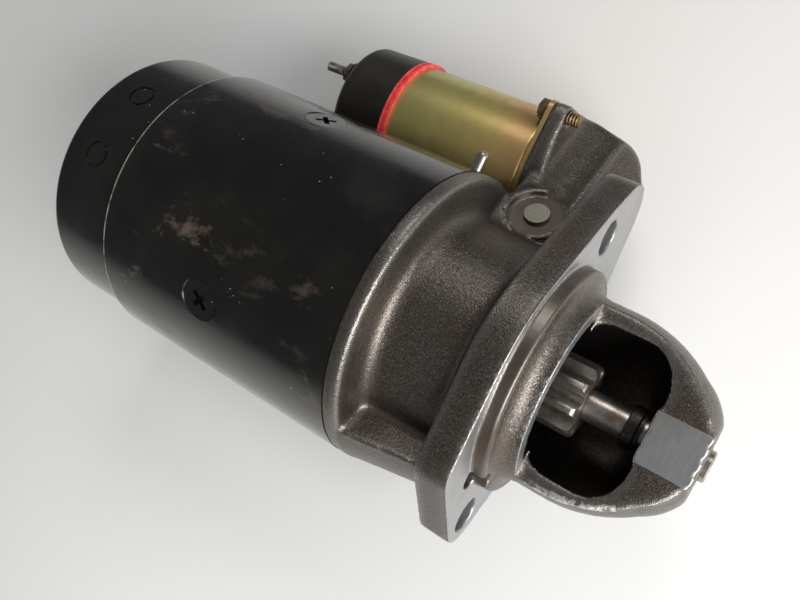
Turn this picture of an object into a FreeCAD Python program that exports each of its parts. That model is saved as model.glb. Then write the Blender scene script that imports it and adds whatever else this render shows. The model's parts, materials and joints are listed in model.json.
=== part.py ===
"""Starter motor with a solenoid-shifted overrunning drive, one solid per piece.

The +X axis is the armature shaft and points to the nose. The origin is the centre of the pilot
on the machined mounting face. +Z is up, with the motor lying on its side on a bench.

Three clocked frames share the X axis. The motor frame is the row's own frame. The casting frame has
+Y through the ear holes and +Z square to the nose window. The solenoid frame has +Y from the shaft
to the solenoid. A piece is built in the frame that makes it simple, then turned about X.
"""
import FreeCAD, Part

import math
import os

from FreeCAD import Vector

# ---------------------------------------------------------------- driving dimensions (mm, degrees)
FRAME_R = 57.15            # 4.5 inch field frame
FRAME_WALL = 6.35
FRAME_FRONT = -49.1
FRAME_REAR = -157.0
CAP_REAR = -191.0
CAP_R = 54.8
CAP_WALL = 3.0
CAP_EDGE = 3.0             # rounding of the rear edge
CAP_MARK_X = -174.0        # two shallow rings pressed into the side of the cap
CAP_MARK_CLOCKS = (61.0, 91.0)

FLANGE_THICK = 12.5
EAR_SPACING = 107.95       # 4.25 inch between ear holes
EAR_HOLE_R = 6.65
PILOT_R = 42.0
PILOT_LONG = 5.0
BODY_R = 41.5
CAVITY_R = 34.0
RIM_R = 57.1
NOSE_CAVITY_R = 29.5
NOSE_R = 34.6
NOSE_END = 60.0
WINDOW_LEVEL = 14.0        # height of the flat cut face above the shaft
WINDOW_REAR = 12.0
WINDOW_FRONT = 42.0
NOSE_BORE_R = 8.0
RING_GEAR_R = 180.0        # sweep of the engine's ring gear across the window

SOLENOID_REACH = 85.6      # shaft centre to solenoid centre
SOLENOID_R = 26.4
RING_R = 28.1
SOLENOID_CLOCK = -29.7     # solenoid direction seen in the casting frame
SHIFT_HOUSING_R = 28.1
LAND_REAR = -46.0          # where the solenoid bolts to the casting
LAND_FRONT = -39.3
SCREW_CLOCKS = (80.0, 240.0)   # solenoid screws, about the solenoid's own axis
SCREW_REACH = 31.0
SCREW_R = 2.6
CASE_REAR = -110.8
CASE_FRONT = LAND_REAR - 1.8
CAP_FRONT = -114.0         # front of the solenoid's plastic cap
SOLENOID_CAP_REAR = -140.0
CASE_BORE_R = 14.6
CAP_SHELL = 4.0
CAP_BOSS = 2.5             # height of the bosses around the terminals
TIP_STEP = 0.3             # how much thinner a terminal's free end is

SHAFT_REAR = CAP_REAR + 1.6
SHAFT_TIP = 62.0
SHAFT_TIP_R = 5.5
JOURNAL_R = 7.0            # rear bearing
END_BUSH_R = 9.5
SHAFT_R = 8.0
SPLINE_R = 9.0
SPLINE_FRONT = -15.0
CORE_SHAFT_R = 9.5
ARMATURE_R = 36.5
SLOTS = 16
COMMUTATOR_R = 20.0
COMMUTATOR_REAR = -177.5
COMMUTATOR_FRONT = -150.5
HUB_R = 13.0
CORE_FRONT = -71.0
CORE_REAR = -137.0
STOP_REAR = 38.1           # groove for the stop ring, in front of the collar
STOP_FRONT = 39.3

TEETH = 9
PINION_TIP_R = 13.5
PINION_ROOT_R = 8.7
PINION_FRONT = 19.5
PINION_REAR = 2.0
PINION_BORE_R = 7.0
DRIVE_TRAVEL = 14.0
SLEEVE_R = 11.6
RACE_R = 12.2              # the clutch's inner race
RACE_REAR = -12.9
ROLLER_R = 3.2
SHELL_REAR = -16.0
SHELL_R = 24.0
SNAP_REAR = -45.6          # ring that keeps the collar on the sleeve
SNAP_FRONT = -44.4

PIVOT_X = -28.9
PIVOT_REACH = 48.7
PIVOT_R = 4.0
RECESS_R = 10.8            # spot face around the pivot pin
RECESS_HALF = 20.5
CLIP_LOW = -21.6
COLLAR_X = PIVOT_X - DRIVE_TRAVEL / 2
FORK_REACH = 15.0
FORK_PAD_R = 4.5
LEVER_SLOPE = (DRIVE_TRAVEL / 2) / (PIVOT_REACH - FORK_REACH)
PLUNGER_PIN_X = PIVOT_X + LEVER_SLOPE * (SOLENOID_REACH - PIVOT_REACH)
PLUNGER_TRAVEL = 2 * (PLUNGER_PIN_X - PIVOT_X)
PLUNGER_R = 13.9
CORE_FACE = -100.0
PLUNGER_REAR = CORE_FACE + PLUNGER_TRAVEL + 0.3
CONTACT_TRAVEL = 3.0
SPRING_FRONT = PLUNGER_REAR + 22.0
ROD_R = 3.0
ROD_TIP = SPRING_FRONT - PLUNGER_TRAVEL + CONTACT_TRAVEL - 0.4
DISC_REAR = -124.0
DISC_FRONT = -121.0

POLES = 4
POLE_CLOCK = 41.2          # first pole, motor frame
POLE_SCREW_X = -106.0
BOLT_CLOCK = 158.0         # first through bolt, casting frame
BOLT_REACH = 42.5
BOLT_R = 3.0
COIL_HALF_ANGLE = 31.0
BRUSH_X = -164.0
BRUSH_PLATE_REAR = -153.5
PIN_X = -54.8              # locating pin
PIN_R = 2.3
LEAD_X = -146.0
LEAD_HALF = 4.5

# The motor lies on the field frame and the solenoid's seal ring, on their common tangent plane.
REST_TILT = math.degrees(math.asin((FRAME_R - RING_R) / SOLENOID_REACH))
SOLENOID_TURN = -REST_TILT
CASTING_TURN = SOLENOID_TURN - SOLENOID_CLOCK
PIN_CLOCK = 3.0 + CASTING_TURN

# Terminals on the solenoid cap: place past the solenoid's centre, sideways place, radius, rear end.
STUDS = {"battery": (12.0, -12.0, 5.0, -162.0),
         "motor": (-14.0, -8.0, 4.0, -156.0),
         "switch": (-1.5, 17.7, 2.4, -157.0)}
LEAD_REACH = math.hypot(SOLENOID_REACH + STUDS["motor"][0], STUDS["motor"][1])
LEAD_CLOCK = SOLENOID_TURN + math.degrees(math.atan2(STUDS["motor"][1], SOLENOID_REACH + STUDS["motor"][0]))

X_AXIS = Vector(1, 0, 0)
Y_AXIS = Vector(0, 1, 0)
Z_AXIS = Vector(0, 0, 1)
ORIGIN = Vector(0, 0, 0)
GAP = 0.3                  # between curved faces that move past each other
RUNNING = 0.05             # radial clearance of a shaft in its bore


# ---------------------------------------------------------------- shape helpers
def turn(shape, degrees):
    """A copy of the shape turned about the X axis."""
    copy = shape.copy()
    copy.rotate(ORIGIN, X_AXIS, degrees)
    return copy


def rod(x0, x1, radius, y=0.0, z=0.0):
    """A cylinder along X."""
    return Part.makeCylinder(radius, x1 - x0, Vector(x0, y, z), X_AXIS)


def tube(x0, x1, outer, inner, y=0.0, z=0.0):
    return rod(x0, x1, outer, y, z).cut(rod(x0 - 1, x1 + 1, inner, y, z))


def spoke(r0, r1, radius, x, degrees=0.0):
    """A cylinder pointing away from the X axis."""
    cylinder = Part.makeCylinder(radius, r1 - r0, Vector(x, r0, 0), Y_AXIS)
    return turn(cylinder, degrees)


def block(x0, x1, y0, y1, z0, z1):
    return Part.makeBox(x1 - x0, y1 - y0, z1 - z0, Vector(x0, y0, z0))


def fuse(shapes):
    shapes = list(shapes)
    joined = shapes[0].multiFuse(shapes[1:]) if len(shapes) > 1 else shapes[0]
    return joined.removeSplitter()


def lathe(profile, y=0.0, z=0.0):
    """A solid turned about X. A profile entry is (x, r), or (x, r, mid x, mid r) to arrive by an arc."""
    edges = []
    for start, end in zip(profile, profile[1:] + profile[:1]):
        a = Vector(start[0], start[1], 0)
        b = Vector(end[0], end[1], 0)
        if a.isEqual(b, 1e-7):
            continue
        if len(end) == 4:
            edges.append(Part.Arc(a, Vector(end[2], end[3], 0), b).toShape())
        else:
            edges.append(Part.LineSegment(a, b).toShape())
    solid = Part.Face(Part.Wire(edges)).revolve(ORIGIN, X_AXIS, 360)
    solid = Part.Solid(solid.Shells[0])
    if solid.Volume < 0:
        solid.reverse()
    solid.translate(Vector(0, y, z))
    return solid


def link(a, b, x0, x1):
    """The convex hull of two discs (y, z, r), extruded along X."""
    dy = b[0] - a[0]
    dz = b[1] - a[1]
    distance = math.hypot(dy, dz)
    heading = math.atan2(dz, dy)
    spread = math.acos((a[2] - b[2]) / distance)
    corners = []
    for disc, side in ((a, 1), (b, 1), (b, -1), (a, -1)):
        angle = heading + side * spread
        corners.append(Vector(x0, disc[0] + disc[2] * math.cos(angle), disc[1] + disc[2] * math.sin(angle)))
    web = Part.Face(Part.makePolygon(corners + corners[:1])).extrude(Vector(x1 - x0, 0, 0))
    return fuse([web, rod(x0, x1, a[2], a[0], a[1]), rod(x0, x1, b[2], b[0], b[1])])


def sector(x0, x1, outer, inner, half_angle, middle=0.0):
    """A piece of a tube, half_angle degrees each side of middle."""
    wedge = Part.makeCylinder(outer, x1 - x0, Vector(x0, 0, 0), X_AXIS, 2 * half_angle)
    wedge = wedge.cut(rod(x0 - 1, x1 + 1, inner)).Solids[0]
    centre = wedge.CenterOfMass
    return turn(wedge, middle - math.degrees(math.atan2(centre.z, centre.y)))


def hexagon(x0, x1, across_flats, y=0.0, z=0.0):
    radius = across_flats / math.sqrt(3)
    points = [Vector(x0, y + radius * math.cos(k * math.pi / 3), z + radius * math.sin(k * math.pi / 3))
              for k in range(7)]
    return Part.Face(Part.makePolygon(points)).extrude(Vector(x1 - x0, 0, 0))


def around(shape, count, first=0.0):
    return [turn(shape, first + 360.0 * k / count) for k in range(count)]


def save(name, shape, degrees=0.0):
    """Writes one node, turned from its own frame into the motor frame."""
    placed = turn(shape, degrees)
    if not placed.isValid() or not placed.Solids:
        raise ValueError(name + " is not a valid solid")
    placed = placed.Solids[0] if len(placed.Solids) == 1 else Part.makeCompound(placed.Solids)
    placed.exportStep("parts/" + name + ".step")


# ---------------------------------------------------------------- cast drive housing (casting frame)
def to_casting(shape):
    """From the solenoid frame to the casting frame."""
    return turn(shape, SOLENOID_CLOCK)


def screw_places():
    return [(SOLENOID_REACH + SCREW_REACH * math.cos(math.radians(clock)),
             SCREW_REACH * math.sin(math.radians(clock))) for clock in SCREW_CLOCKS]


def flange_plate():
    ear = EAR_SPACING / 2
    centre = (0, 0, 44.5)
    left_ear = (-ear, 0, 11.2)
    shoulder = (-34.0, 29.5, 12.0)
    lobe = (64.0, -12.0, 14.2)
    pieces = [link(centre, left_ear, -FLANGE_THICK, 0), link(centre, shoulder, -FLANGE_THICK, 0),
              link(left_ear, shoulder, -FLANGE_THICK, 0), link(centre, (ear, 0, 12.2), -FLANGE_THICK, 0),
              link(centre, lobe, -FLANGE_THICK, 0), link((ear, 0, 12.2), lobe, -FLANGE_THICK, 0)]
    return fuse(pieces)


def motor_end():
    """The rim that meets the field frame, the barrel, the pilot, and the domed nose."""
    return lathe([
        (FRAME_FRONT, 0), (FRAME_FRONT, RIM_R), (-44.6, RIM_R), (-43.2, RIM_R - 1.4, -43.6, RIM_R - 0.4),
        (-43.2, 49.0), (-38.2, BODY_R + 0.6, -41.8, 43.4), (-FLANGE_THICK, BODY_R), (-6, BODY_R),
        (-6, PILOT_R), (PILOT_LONG - 0.5, PILOT_R), (PILOT_LONG, PILOT_R - 0.5), (PILOT_LONG, 40.6),
        (11.0, NOSE_R, 6.7, 36.3), (20.0, NOSE_R), (50.0, 24.3, 36.6, 31.8), (NOSE_END, 13.4, 56.2, 19.4),
        (NOSE_END, 0)])


def foot(clock, half_angle):
    """A pad beside the barrel that carries a through bolt's thread. It tapers towards the flange."""
    pad = Part.makeCone(57.0, 51.5, 34.0, Vector(-46, 0, 0), X_AXIS, 2 * half_angle)
    pad = pad.cut(rod(-47, -10, 30.0)).Solids[0]
    centre = pad.CenterOfMass
    return turn(pad, clock - math.degrees(math.atan2(centre.z, centre.y)))


def waist():
    """Side limits of the shift housing: a valley behind a ridge, then two faces that meet in front."""
    half = [(-60, 40.0), (LAND_FRONT, 40.0), (LAND_FRONT, 27.5), (-37.6, 21.5), (-34.0, 18.6), (-29.0, 17.6),
            (-24.0, 17.8), (-20.2, 18.7), (-10.0, 6.2), (-4.6, 2.0)]
    outline = half + [(x, -z) for x, z in reversed(half)]
    points = [Vector(x, 20, z) for x, z in outline]
    return Part.Face(Part.makePolygon(points + points[:1])).extrude(Vector(0, 110, 0))


def shift_housing():
    """The bulge over the plunger and shift lever, built in the solenoid frame."""
    reach = SOLENOID_REACH
    dome = lathe([(LAND_REAR, 0), (LAND_REAR, SHIFT_HOUSING_R), (LAND_FRONT, SHIFT_HOUSING_R), (-34.0, 27.8),
                  (-19.5, 24.6), (-10.4, 16.0, -13.9, 21.4), (-5.4, 5.0, -7.4, 10.9), (-5.4, 0)], y=reach)
    web = block(-43.0, -12.0, 30.0, reach, -21.0, 21.0)
    toe = link((46.0, 0, 8.0), (reach - 8, 0, 7.0), -13.0, -3.6)
    body = fuse([dome, web, toe]).common(waist())
    centre = (reach, 0, SHIFT_HOUSING_R)
    land = [link(centre, (y, z, 4.5), LAND_REAR, LAND_FRONT) for y, z in screw_places()]
    boss = Part.makeCylinder(RECESS_R, 2 * RECESS_HALF, Vector(PIVOT_X, PIVOT_REACH, -RECESS_HALF), Z_AXIS)
    lip = Part.makeCylinder(13.6, 44.4, Vector(PIVOT_X, PIVOT_REACH, -22.2), Z_AXIS)
    lip = lip.common(block(-45.0, -30.5, PIVOT_REACH - 4.0, PIVOT_REACH + 14.0, -30, 30))
    return [body, boss, lip] + land


def housing_hollow():
    """Everything that is open inside the casting."""
    cavity = lathe([
        (FRAME_FRONT - 1, 0), (FRAME_FRONT - 1, CAVITY_R), (-14, CAVITY_R), (-9.5, NOSE_CAVITY_R),
        (WINDOW_FRONT - 12, NOSE_CAVITY_R), (WINDOW_FRONT, 17.5, WINDOW_FRONT - 3.5, 26.0),
        (WINDOW_FRONT, 0)])
    reach = SOLENOID_REACH
    plunger_bore = lathe([
        (LAND_REAR - 1, 0), (LAND_REAR - 1, 15.2), (-39.6, 15.2), (-38.0, 11.5), (-21.0, 11.5), (-16.5, 9.6),
        (-13.4, 6.6), (-12.9, 5.0), (-12.9, 0)], y=reach)
    slot = block(-41.0, -15.0, 20.0, reach, -8.2, 8.2)
    pivot = Part.makeCylinder(PIVOT_R, 80, Vector(PIVOT_X, PIVOT_REACH, -40), Z_AXIS)
    hollow = [cavity] + [to_casting(s) for s in (plunger_bore, slot, pivot)]
    hollow += [to_casting(rod(LAND_REAR - 1, -34.0, SCREW_R, y, z)) for y, z in screw_places()]
    for side in (1, -1):
        foot_of_recess = Vector(PIVOT_X, PIVOT_REACH, side * RECESS_HALF)
        recess = Part.makeCylinder(RECESS_R, 30, foot_of_recess, Z_AXIS * side)
        hollow.append(to_casting(recess))
    return hollow


def window_corners():
    """Small webs that round the two rear corners of the window."""
    webs = []
    for side in (1, -1):
        near, far, radius = 21.5, 27.5, 4.5
        web = block(WINDOW_REAR - 1.0, WINDOW_REAR + radius, near, far, WINDOW_LEVEL - 2.5, WINDOW_LEVEL)
        hollow = Part.makeCylinder(radius, 10, Vector(WINDOW_REAR + radius, near, WINDOW_LEVEL - 5), Z_AXIS)
        web = web.cut(hollow)
        webs.append(web if side > 0 else web.mirror(ORIGIN, Y_AXIS))
    return webs


def drive_housing():
    body = fuse([motor_end(), flange_plate(), foot(164.0, 19.5), foot(248.0, 9.0)]
                + [to_casting(s) for s in shift_housing()])
    window = block(WINDOW_REAR, NOSE_END + 5, -50, 50, WINDOW_LEVEL, 50)
    gear_centre = Vector(WINDOW_REAR, 0, RING_GEAR_R + WINDOW_LEVEL - 1.4)
    ring_gear_relief = Part.makeCylinder(RING_GEAR_R, 6.4, gear_centre, X_AXIS)
    body = body.cut(fuse([window, ring_gear_relief]))
    pad = block(WINDOW_FRONT - 1.0, NOSE_END - 0.3, -9.1, 9.1, 2.0, WINDOW_LEVEL + 0.3)
    cuts = housing_hollow()
    cuts += [rod(-20, 5, EAR_HOLE_R, side * EAR_SPACING / 2, 0) for side in (-1, 1)]
    cuts.append(rod(-8, 12, 4.2, -38.7, 17.5))
    nose_bore = rod(WINDOW_FRONT - 3, NOSE_END + 1, NOSE_BORE_R)
    cuts.append(nose_bore)
    for clock in (BOLT_CLOCK, BOLT_CLOCK + 180):
        cuts.append(turn(rod(FRAME_FRONT - 1, -39.5, BOLT_R, BOLT_REACH, 0), clock))
    return fuse([body.cut(fuse(cuts)), pad.cut(nose_bore)] + window_corners())


# ---------------------------------------------------------------- field frame and its contents
def pole_places():
    return [POLE_CLOCK + 360.0 * k / POLES for k in range(POLES)]


def field_frame():
    shell = tube(FRAME_REAR, FRAME_FRONT, FRAME_R, FRAME_R - FRAME_WALL)
    cuts = []
    for clock in pole_places():
        cuts.append(spoke(45, 60, 5.0, POLE_SCREW_X, clock))
        countersink = Part.makeCone(4.95, 8.55, 3.6, Vector(POLE_SCREW_X, FRAME_R - 3.4, 0), Y_AXIS)
        cuts.append(turn(countersink, clock))
    lead_slot = block(LEAD_X - 3.0, LEAD_X + 3.0, 45, 60, -LEAD_HALF - 2.5, LEAD_HALF + 2.5)
    cuts.append(turn(lead_slot, LEAD_CLOCK))
    cuts.append(turn(spoke(45, 60, PIN_R, PIN_X), PIN_CLOCK))
    return shell.cut(fuse(cuts))


def pole_shoe():
    """One laminated pole, pointing along +Y."""
    core = sector(-133, -75, FRAME_R - FRAME_WALL, 39.5, 17.0)
    tip = sector(-135, -73, 41.0, ARMATURE_R + 0.8, 30.0)
    thread = spoke(38.5, 60, 4.0, POLE_SCREW_X)
    return fuse([core, tip]).cut(thread)


def field_coil():
    """One winding that loops around a pole."""
    loop = sector(-144, -64, FRAME_R - FRAME_WALL - 0.2, 41.2, COIL_HALF_ANGLE)
    return loop.cut(sector(-133.5, -74.5, 60, 30, 17.6))


def pole_screw():
    """A countersunk cross-slot screw, pointing along +Y."""
    shank = spoke(39.2, 54, 4.0, POLE_SCREW_X)
    head = Part.makeCone(4.8, 7.8, 3.0, Vector(POLE_SCREW_X, FRAME_R - 3.4, 0), Y_AXIS)
    screw = fuse([shank, head])
    slots = []
    for quarter in (45, 135):
        slot = block(-3.9, 3.9, FRAME_R - 2.9, FRAME_R + 1, -0.95, 0.95)
        slot.rotate(ORIGIN, Y_AXIS, quarter)
        slot.translate(Vector(POLE_SCREW_X, 0, 0))
        slots.append(slot)
    return screw.cut(fuse(slots))


def locating_pin():
    """A steel pin with a rounded end, pressed into the field frame."""
    shoulder = FRAME_R + 6.0
    bulge = PIN_R * math.sqrt(0.5)
    pin = lathe([(FRAME_R - FRAME_WALL, 0), (FRAME_R - FRAME_WALL, PIN_R), (shoulder, PIN_R),
                 (shoulder + PIN_R, 0, shoulder + bulge, bulge)])
    pin.rotate(ORIGIN, Z_AXIS, 90)
    pin.translate(Vector(PIN_X, 0, 0))
    return pin


def end_cap():
    bulge = CAP_EDGE * (1 - math.sqrt(0.5))
    outer = lathe([(CAP_REAR, 0), (CAP_REAR, CAP_R - CAP_EDGE),
                   (CAP_REAR + CAP_EDGE, CAP_R, CAP_REAR + bulge, CAP_R - bulge),
                   (FRAME_REAR - 0.1, CAP_R), (FRAME_REAR - 0.1, 0)])
    inside = lathe([(CAP_REAR + CAP_WALL, 12.0), (CAP_REAR + CAP_WALL, CAP_R - 6.0),
                    (CAP_REAR + 6.5, CAP_R - CAP_WALL), (FRAME_REAR + 1, CAP_R - CAP_WALL),
                    (FRAME_REAR + 1, 0), (CAP_REAR + 11.5, 0), (CAP_REAR + 11.5, 12.0)])
    cap = outer.cut(inside).cut(rod(CAP_REAR + CAP_WALL - 1.6, CAP_REAR + 14, END_BUSH_R))
    cuts = []
    for clock in CAP_MARK_CLOCKS:
        island = spoke(CAP_R - 2, CAP_R + 2, 4.3, CAP_MARK_X)
        ring = spoke(CAP_R - 0.7, CAP_R + 1, 5.2, CAP_MARK_X).cut(island)
        cuts.append(turn(ring, clock + CASTING_TURN))
    for clock in (BOLT_CLOCK, BOLT_CLOCK + 180):
        cuts.append(turn(rod(CAP_REAR - 1, CAP_REAR + 10, BOLT_R + 0.4, BOLT_REACH, 0), clock + CASTING_TURN))
    return cap.cut(fuse(cuts))


def through_bolt():
    shank = rod(CAP_REAR - 1, -40.5, BOLT_R, BOLT_REACH, 0)
    head = hexagon(CAP_REAR - 4.6, CAP_REAR, 9.5, BOLT_REACH, 0)
    return fuse([shank, head])


def field_lead():
    """The flat copper lead from the field coils to the solenoid's motor terminal."""
    strip = block(LEAD_X - 1, LEAD_X + 1, 45.5, LEAD_REACH, -LEAD_HALF, LEAD_HALF)
    eye = rod(LEAD_X - 1, LEAD_X + 1, 6.5, LEAD_REACH, 0)
    return fuse([strip, eye]).cut(rod(LEAD_X - 2, LEAD_X + 2, STUDS["motor"][2] + RUNNING, LEAD_REACH, 0))


def lead_grommet():
    """The insulating sleeve where the lead leaves the frame."""
    wall = FRAME_R - FRAME_WALL
    half = LEAD_HALF + 2.5
    body = block(LEAD_X - 3.0, LEAD_X + 3.0, wall, FRAME_R + 0.2, -half, half)
    lip = block(LEAD_X - 4.5, LEAD_X + 4.5, FRAME_R, FRAME_R + 2.0, -half - 1.5, half + 1.5)
    hole = block(LEAD_X - 1.0, LEAD_X + 1.0, 40, 70, -LEAD_HALF, LEAD_HALF)
    seat = rod(FRAME_REAR, FRAME_FRONT, FRAME_R)
    return fuse([body, lip.cut(seat)]).cut(hole)


# ---------------------------------------------------------------- brush gear
def brush_plate():
    plate = tube(BRUSH_PLATE_REAR, BRUSH_PLATE_REAR + 2.0, FRAME_R - FRAME_WALL, 23.5)
    holes = [turn(rod(-160, -150, BOLT_R + 0.6, BOLT_REACH, 0), clock + CASTING_TURN)
             for clock in (BOLT_CLOCK, BOLT_CLOCK + 180)]
    holes.append(turn(block(-160, -150, 44, 60, -6, 6), LEAD_CLOCK))
    return plate.cut(fuse(holes))


def brush_places():
    """Clocks of the four brushes, a little off the gaps between the poles."""
    return [POLE_CLOCK + 45 + 22.5 + 90 * k for k in range(POLES)]


def brush_holder():
    """A box guide on the brush plate, along +Y."""
    box = block(BRUSH_X - 9.3, BRUSH_PLATE_REAR, 24.5, 35.7, -7.4, 7.4)
    inside = block(BRUSH_X - 8.0, BRUSH_X + 8.0, 20, 45, -5.1, 5.1)
    return box.cut(inside)


def brush():
    """A carbon block, hollowed where it rubs on the commutator."""
    carbon = block(BRUSH_X - 7.8, BRUSH_X + 7.8, 15.0, 35.0, -5.0, 5.0)
    return carbon.cut(rod(BRUSH_X - 9, BRUSH_X + 9, COMMUTATOR_R + GAP))


def brush_spring():
    """A flat spiral beside the guide, with a finger that presses on the brush."""
    coil = tube(BRUSH_X - 2.5, BRUSH_X + 2.5, 4.2, 2.9, 33.0, 12.2)
    finger = block(BRUSH_X - 2.5, BRUSH_X + 2.5, 35.9, 36.9, -2.0, 12.2)
    return fuse([coil, finger.cut(rod(BRUSH_X - 3, BRUSH_X + 3, 2.9, 33.0, 12.2))])


# ---------------------------------------------------------------- armature
def shaft_ribs(radius, width, x0, x1):
    rib = block(x0, x1, 4.0, radius, -width / 2, width / 2)
    return around(rib, 6)


def armature_shaft():
    """A stepped shaft with straight splines under the drive and a groove for the stop ring."""
    body = lathe([(SHAFT_REAR, 0), (SHAFT_REAR, JOURNAL_R - 0.6), (SHAFT_REAR + 0.6, JOURNAL_R),
                  (-176.5, JOURNAL_R), (-176.5, SHAFT_R), (-150, SHAFT_R), (-150, CORE_SHAFT_R),
                  (-54, CORE_SHAFT_R), (-52.5, SHAFT_R), (SPLINE_FRONT, SHAFT_R), (-13.6, SHAFT_TIP_R),
                  (SHAFT_TIP - 0.5, SHAFT_TIP_R), (SHAFT_TIP, SHAFT_TIP_R - 0.5), (SHAFT_TIP, 0)])
    body = fuse([body] + shaft_ribs(SPLINE_R, 3.6, -50.0, SPLINE_FRONT - 0.4))
    groove = tube(STOP_REAR, STOP_FRONT, SHAFT_R, SHAFT_TIP_R - 0.7)
    return body.cut(groove)


def slot_cutter(outer):
    return block(CORE_REAR - 1, CORE_FRONT + 1, 23.0, outer, -2.2, 2.2)


def armature_core():
    body = tube(CORE_REAR, CORE_FRONT, ARMATURE_R, CORE_SHAFT_R)
    return body.cut(fuse(around(slot_cutter(40.0), SLOTS)))


def armature_windings():
    bars = around(block(CORE_REAR - 2, CORE_FRONT + 2, 23.4, 35.2, -1.9, 1.9), SLOTS)
    front = lathe([(CORE_FRONT + 0.3, 15.0), (CORE_FRONT + 0.3, 35.2), (-62, 34.0, -65.5, 35.2), (-59, 28.0),
                   (-59, 15.0)])
    rear = lathe([(-149.0, 15.0), (-149.0, 22.0), (-144.5, 33.0), (CORE_REAR - 0.3, 35.2),
                  (CORE_REAR - 0.3, 15.0)])
    return fuse([front, rear] + bars)


def commutator():
    ring = fuse([tube(COMMUTATOR_REAR, COMMUTATOR_FRONT, COMMUTATOR_R, HUB_R),
                 tube(COMMUTATOR_FRONT - 2.5, COMMUTATOR_FRONT, COMMUTATOR_R + 2.5, HUB_R)])
    cut = block(COMMUTATOR_REAR - 1, COMMUTATOR_FRONT + 1, COMMUTATOR_R - 1.2, 24, -0.4, 0.4)
    return ring.cut(fuse(around(cut, 2 * SLOTS)))


def stop_collar():
    """The ring on the shaft that stops the pinion."""
    rear, front = STOP_REAR - 4.2, STOP_REAR - 0.1
    return lathe([(rear, SHAFT_TIP_R), (rear, 7.2), (rear + 0.4, 7.6), (front - 0.4, 7.6), (front, 7.2),
                  (front, SHAFT_TIP_R)])


# ---------------------------------------------------------------- drive
def drive_sleeve():
    """The splined sleeve, with the flange that drives the clutch."""
    body = fuse([tube(-48.0, SHELL_REAR + 1.0, SLEEVE_R, SHAFT_R + RUNNING),
                 tube(SHELL_REAR, SHELL_REAR + 2.5, 19.0, SHAFT_R + RUNNING)])
    body = body.cut(rod(-22.0, SHELL_REAR + 3.0, SPLINE_R + GAP))
    keyways = around(block(-49, -13, 5.0, SPLINE_R + RUNNING, -1.85, 1.85), 6)
    snap_groove = tube(SNAP_REAR, SNAP_FRONT, 13.0, SLEEVE_R - 0.8)
    return body.cut(fuse(keyways)).cut(snap_groove)


def clutch_shell():
    """The cup around the rollers, closed in front by an inward lip."""
    return lathe([(SHELL_REAR, 19.0), (SHELL_REAR, 22.6), (-15.0, SHELL_R, -15.7, 23.6), (-1.0, SHELL_R),
                  (0.6, 22.4, 0.1, 23.5), (0.6, RACE_R + 0.4), (-1.4, RACE_R + 0.4), (-1.4, 19.2),
                  (SHELL_REAR + 2.5, 19.2), (SHELL_REAR + 2.5, 19.0)])


def pinion_outline(x):
    """A closed outline of the teeth, with curved flanks."""
    pitch = 2 * math.pi / TEETH
    edges = []

    def at(radius, angle):
        return Vector(x, radius * math.cos(angle), radius * math.sin(angle))

    for tooth in range(TEETH):
        middle = tooth * pitch
        root = 0.36 * pitch
        waist = 0.27 * pitch
        tip = 0.10 * pitch
        pitch_r = (PINION_TIP_R + PINION_ROOT_R) / 2 + 0.4
        edges.append(Part.Arc(at(PINION_ROOT_R, middle - root), at(pitch_r, middle - waist),
                              at(PINION_TIP_R, middle - tip)).toShape())
        edges.append(Part.Arc(at(PINION_TIP_R, middle - tip), at(PINION_TIP_R, middle),
                              at(PINION_TIP_R, middle + tip)).toShape())
        edges.append(Part.Arc(at(PINION_TIP_R, middle + tip), at(pitch_r, middle + waist),
                              at(PINION_ROOT_R, middle + root)).toShape())
        edges.append(Part.Arc(at(PINION_ROOT_R, middle + root), at(PINION_ROOT_R, middle + pitch / 2),
                              at(PINION_ROOT_R, middle + pitch - root)).toShape())
    return Part.Wire(edges)


def pinion_gear():
    """The pinion and, behind it, the clutch's inner race in one piece."""
    teeth = Part.Face(pinion_outline(PINION_REAR)).extrude(Vector(PINION_FRONT - PINION_REAR, 0, 0))
    rear, front, tip = PINION_REAR, PINION_FRONT, PINION_TIP_R
    lead_in = lathe([(rear - 1, 0), (rear - 1, tip + 1), (front - 1.8, tip + 1), (front - 1.8, tip),
                     (front, tip - 2.4, front - 0.5, tip - 0.8), (front, 0)])
    race = rod(RACE_REAR, PINION_REAR + 0.5, RACE_R)
    bore = rod(RACE_REAR - 1, PINION_FRONT + 1, PINION_BORE_R)
    return fuse([teeth.common(lead_in), race]).cut(bore)


def shift_collar():
    """A grooved ring on the sleeve. The lever's two pads sit in the groove."""
    half = FORK_PAD_R + GAP
    body = tube(COLLAR_X - half, COLLAR_X + half, 12.8, SLEEVE_R + RUNNING)
    sides = [tube(COLLAR_X - half - 1.6, COLLAR_X - half, 17.0, SLEEVE_R + RUNNING),
             tube(COLLAR_X + half, COLLAR_X + half + 1.6, 17.0, SLEEVE_R + RUNNING)]
    return fuse([body] + sides)


# ---------------------------------------------------------------- shift lever (solenoid frame)
def lever_x(reach):
    """Where the lever's centre line is at rest, at a distance from the shaft."""
    return PIVOT_X + LEVER_SLOPE * (reach - PIVOT_REACH)


def flat_bar(a, b, radius_a, radius_b, z0, z1):
    """The hull of two discs in the X-Y plane, between two heights."""
    bar = link((a[1], -a[0], radius_a), (b[1], -b[0], radius_b), z0, z1)
    bar.rotate(ORIGIN, Y_AXIS, -90)
    return bar


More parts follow.
